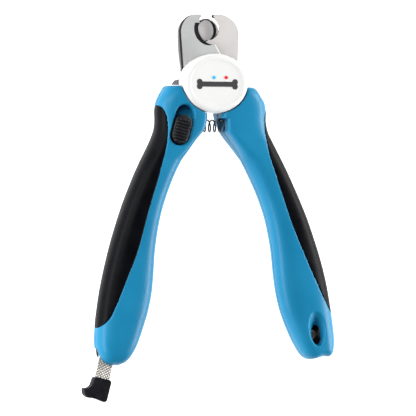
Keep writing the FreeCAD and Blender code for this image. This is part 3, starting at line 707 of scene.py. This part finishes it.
# inside of the cap
inner = [(1.55, 9.82), (1.6, 10.2), (1.6, 15.0), (2.4, 15.2), (5.6, 15.2)]
base = len(verts)
for ins, z in inner:
    verts += [(p[0], p[1], z) for p in oval(15.4 - ins, 13.25 - ins * 0.98, 200)]
for kk in range(len(inner) - 1):
    for i in range(n):
        j = (i + 1) % n
        faces.append((base + kk * n + i, base + (kk + 1) * n + i, base + (kk + 1) * n + j, base + kk * n + j))
last = base + (len(inner) - 1) * n
ci = len(verts)
verts.append((0, 0, 15.2))
faces += [(last + i, ci, last + (i + 1) % n) for i in range(n)]
faces += [(i, base + i, base + (i + 1) % n, (i + 1) % n) for i in range(n)]
cap = new_obj("pivot_cap_shell", [(v[0] * MM, v[1] * MM, v[2] * MM) for v in verts], faces)
ride_as(cap, "pivot_cap", "left_handle", "white_plastic", M_WHITE)

# ------------------------------------------------------------------ slider, file, cap of the file
slider = from_node("lock_slider", "lock_slider_thumb")
finish_shell(slider, 0.16, 2, 0.4)
ride_as(slider, "lock_slider", "lock", "black_plastic", M_BLK_S)
fcap = from_node("file_cap", "file_pull_cap")
finish_shell(fcap, 0.16, 3, 0.45)
ride_as(fcap, "file_cap", "file", "black_plastic", M_BLK)

# file blade with real double-cut grooves
FW, FT, L0, L1 = 6.9, 1.6, 9.6 - 77.0, 9.6
nx, ny = ((1100, 100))
ox, oy, dx, dy = -49.6, -124.4, -0.2300, -0.9732
verts, faces = [], []


def file_pt(s, o, z):
    return ((ox + dx * s - dy * o) * MM, (oy + dy * s + dx * o) * MM, z * MM)


def groove(s, o):
    h = 0.0
    for a in (math.radians(38), math.radians(-52)):
        w = (s * math.cos(a) + o * math.sin(a)) / 1.0
        f = w - math.floor(w)
        h = min(h, -0.14 * max(0.0, 1 - abs(f - 0.5) / 0.30))
    return h


for side in (1, -1):
    for i in range(nx + 1):
        s = L0 + (L1 - L0) * i / nx
        for j in range(ny + 1):
            o = -FW / 2 + FW * j / ny
            edge = min(1.0, (FW / 2 - abs(o)) / 0.25)
            verts.append(file_pt(s, o, MID + side * (FT / 2 - 0.12 * (1 - edge) + groove(s, o) * edge)))
row = ny + 1
off = (nx + 1) * row
for i in range(nx):
    for j in range(ny):
        a, b, c, d = i * row + j, i * row + j + 1, (i + 1) * row + j + 1, (i + 1) * row + j
        faces.append((a, b, c, d))
        faces.append((off + a, off + d, off + c, off + b))
for i in range(nx):
    a, d = i * row, (i + 1) * row
    faces.append((a, d, off + d, off + a))
    a, d = i * row + ny, (i + 1) * row + ny
    faces.append((a, off + a, off + d, d))
for j in range(ny):
    faces.append((j, off + j, off + j + 1, j + 1))
    a = nx * row + j
    faces.append((a, a + 1, off + a + 1, off + a))
file_o = new_obj("nail_file_cut", verts, faces, smooth=False)
file_o.data.shade_smooth()
file_o.data.set_sharp_from_angle(angle=math.radians(28))
ride_as(file_o, "nail_file", "file", "file_steel", M_FILE, M_GROOVE_SHADE)
# groove floors deeper than 0.085 mm get the dark material: painted shade in the grooves
deep = (MID + FT / 2 - 0.085) * MM, (MID - FT / 2 + 0.085) * MM
for p in file_o.data.polygons:
    z = p.center.z
    p.material_index = 1 if abs(p.normal.z) > 0.3 and deep[1] < z < deep[0] else 0

# ------------------------------------------------------------------ spring
X0, X1, TURNS, R, WR = -7.9 + 0.36, 6.5 - 0.36, 6.5, 2.65, 0.34
ns, nc = 460, 14
rings = []
for i in range(ns + 1):
    t = i / ns
    # closed end coils, open in between
    e = 0.10
    if t < e:
        x = X0 + (t / e) * 0.55
    elif t > 1 - e:
        x = X1 - ((1 - t) / e) * 0.55
    else:
        x = X0 + 0.55 + (t - e) / (1 - 2 * e) * (X1 - X0 - 1.1)
    a = 2 * math.pi * TURNS * t
    c = Vector((x, -18.85 + R * math.cos(a), MID + R * math.sin(a)))
    nrm = Vector((0, math.cos(a), math.sin(a)))
    axis = Vector((1, 0, 0))
    rings.append([tuple(c + WR * (nrm * math.cos(2 * math.pi * k / nc) + axis * math.sin(2 * math.pi * k / nc))) for k in range(nc)])
spring = loft("return_spring_coil", rings)
paint(spring, M_SPRING)
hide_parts("return_spring")
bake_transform(spring)

# ------------------------------------------------------------------ emblem


def disc(name, pts, z0, z1, mat):
    o = prism(name, pts, z0, z1)
    md = o.modifiers.new("b", "BEVEL")
    md.width = 0.03 * MM
    md.segments = 2
    md.limit_method = "ANGLE"
    bake(o)
    paint(o, mat)
    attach(o, "left_handle")
    return o


def mat_ink(name, c):
    m, nt, b = material(name, c, 0.45, 0.0, 0.4)
    v = tex_coord(nt)
    n1 = noise(nt, v, 900.0, 3.0)
    nt.links.new(ramp(nt, n1, [(0.3, tuple(x * 0.85 for x in c)), (0.7, tuple(min(1, x * 1.15) for x in c))]), b.inputs["Base Color"])
    bump(nt, b, n1, 0.15, 0.00004)
    return m


INK = mat_ink("charcoal_print", (0.035, 0.035, 0.037))
CYAN = mat_ink("cyan_print", (0.03, 0.42, 0.72))
RED = mat_ink("red_print", (0.62, 0.02, 0.03))


def bone(cx, cy, length, h):
    """Outline of a plain bone sign."""
    r = h * 0.29
    hl, y = length / 2 - r, h / 2 - r
    waist = -6.0
    out = []
    for sx, sy, a0, a1 in ((1, 1, -40, 180 + waist), (-1, 1, -waist, 220), (-1, -1, 140, 360 + waist), (1, -1, 180 - waist, 400)):
        for i in range(19):
            t = math.radians(a0 + (a1 - a0) * i / 18)
            out.append((cx + sx * hl + r * math.cos(t), cy + sy * y + r * math.sin(t)))
    return out


# narrow flat strip in near-white steel along the front blade's lower edge: a painted glint of the edge
glint_strip = prism("front_blade_painted_glint", [(2.2, 17.4), (1.82, 17.42), (5.2, 12.05), (7.82, 8.34), (8.2, 8.6), (5.6, 12.3)], 9.56, 9.615)
paint(glint_strip, mat_steel("painted_glint_steel", (0.76, 0.755, 0.745), (0.84, 0.835, 0.825), 0.42, metallic=0.1))
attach(glint_strip, "right_handle")

disc("cap_sign", bone(0.4, -0.4, 19.6, 4.7), 16.70, 16.90, INK)
disc("cap_dot_cyan", oval(0.8, 0.8, 40, -1.2, 2.6), 16.70, 16.90, CYAN)
disc("cap_dot_red", oval(0.8, 0.8, 40, 4.6, 2.6), 16.70, 16.90, RED)

# ------------------------------------------------------------------ floor
bpy.ops.mesh.primitive_plane_add(size=6.0, location=(0, 0, -0.0002))
floor = bpy.context.object
floor.name = "floor"
fm, fnt, fb = material("floor_paper", (0.93, 0.93, 0.93), 0.75, 0.0, 0.2)
fv = tex_coord(fnt)
fnt.links.new(ramp(fnt, noise(fnt, fv, 30.0, 3.0), [(0.3, (0.40, 0.40, 0.40)), (0.7, (0.42, 0.42, 0.42))]), fb.inputs["Base Color"])
fb.inputs["Emission Color"].default_value = (1.0, 1.0, 1.0, 1)
fb.inputs["Emission Strength"].default_value = 1.5
fb.inputs["Base Color"].default_value = (0.6, 0.6, 0.6, 1)
floor.data.materials.append(fm)
